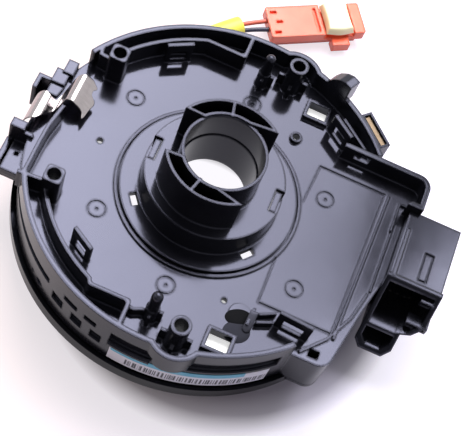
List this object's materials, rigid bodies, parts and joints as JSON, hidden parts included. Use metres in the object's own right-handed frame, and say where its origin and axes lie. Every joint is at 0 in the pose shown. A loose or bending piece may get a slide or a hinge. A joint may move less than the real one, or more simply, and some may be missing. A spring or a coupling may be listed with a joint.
{
  "type": "steering clock spring",
  "caption": "Rotary ribbon-cable coupling for a steering column: fixed case with connector, rotor with cancelling cam, and an airbag pigtail.",
  "frame": {"origin": "on the steering axis, level with the upper face of the case's plate", "axes": "+Z along the steering axis towards the column; +X towards the vehicle-side connector"},
  "size_m": [0.131, 0.1594, 0.051],
  "materials": {
    "black_plastic": "moulded, semi-gloss",
    "dark_plastic": "moulded, matte",
    "nickel_spring": "nickel plated",
    "tinned_pin": "tin plated",
    "white_paper": "plain strip",
    "clear_film": "smooth film",
    "ribbon": "laminated ribbon",
    "yellow_sleeve": "smooth tube",
    "red_wire": "insulation",
    "black_wire": "insulation",
    "orange_plastic": "moulded",
    "ivory_plastic": "moulded"
  },
  "bodies": {
    "stator": {"rear_case": "black_plastic", "front_ring": "black_plastic", "slide_sheet": "clear_film", "flat_cable": "ribbon", "outer_cable_holder": "dark_plastic", "terminal_cover": "black_plastic", "terminal_carrier": "dark_plastic", "stator_connector": "black_plastic", "upper_pins": "tinned_pin", "lower_pins": "tinned_pin", "label": "white_paper", "left_spring_clip": "nickel_spring", "right_spring_clip": "nickel_spring"},
    "rotor": {"rotor": "black_plastic", "cancel_cam": "black_plastic", "inner_cable_holder": "dark_plastic", "rotor_socket": "dark_plastic", "rotor_pins": "tinned_pin", "pigtail_gland": "dark_plastic", "pigtail_sleeve": "yellow_sleeve", "wire_red": "red_wire", "wire_black": "black_wire", "plug_body": "orange_plastic", "plug_terminals": "tinned_pin"},
    "lock": {"plug_lock": "ivory_plastic"}
  },
  "joints": [
    {"name": "steering_turn", "type": "hinge", "parent": "stator", "child": "rotor", "pos_m": [0, 0, 0], "axis": [0, 0, 1], "range_deg": [-900, 900]},
    {"name": "lock_press", "type": "slide", "parent": "rotor", "child": "lock", "axis": [0, 0, -1], "range_m": [0, 0.0016]}
  ]
}
